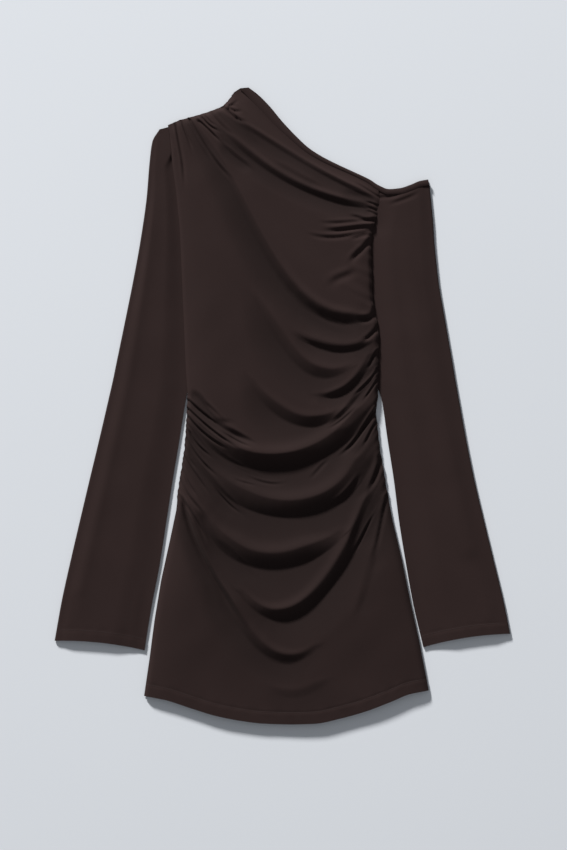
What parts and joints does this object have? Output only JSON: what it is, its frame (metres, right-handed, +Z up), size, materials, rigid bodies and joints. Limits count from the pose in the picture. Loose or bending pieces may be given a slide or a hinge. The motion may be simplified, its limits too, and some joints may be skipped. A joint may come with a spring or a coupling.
{
  "type": "ruched mini dress",
  "caption": "Asymmetric one-shoulder mini dress with long flared sleeves and a ruched, draped front, laid flat on its back.",
  "frame": {"origin": "centre of the dress's outline in plan, on the surface that it lies on", "axes": "+Y from the hem up to the shoulder, +X towards the sleeve of the bare shoulder (to the right in a picture taken from above), +Z up out of the cloth"},
  "size_m": [0.578, 0.8071, 0.0156],
  "materials": {
    "front_panel_cloth": "matt fine jersey, brown black",
    "back_panel_cloth": "matt fine jersey, brown black",
    "sleeve_left_cloth": "matt fine jersey, brown black",
    "sleeve_right_cloth": "matt fine jersey, brown black",
    "neckband_front_cloth": "matt fine jersey, turned in",
    "neckband_back_cloth": "matt fine jersey, turned in"
  },
  "bodies": {
    "root": {"front_panel": "front_panel_cloth", "back_panel": "back_panel_cloth", "sleeve_left": "sleeve_left_cloth", "sleeve_right": "sleeve_right_cloth", "neckband_front": "neckband_front_cloth", "neckband_back": "neckband_back_cloth"}
  },
  "joints": []
}
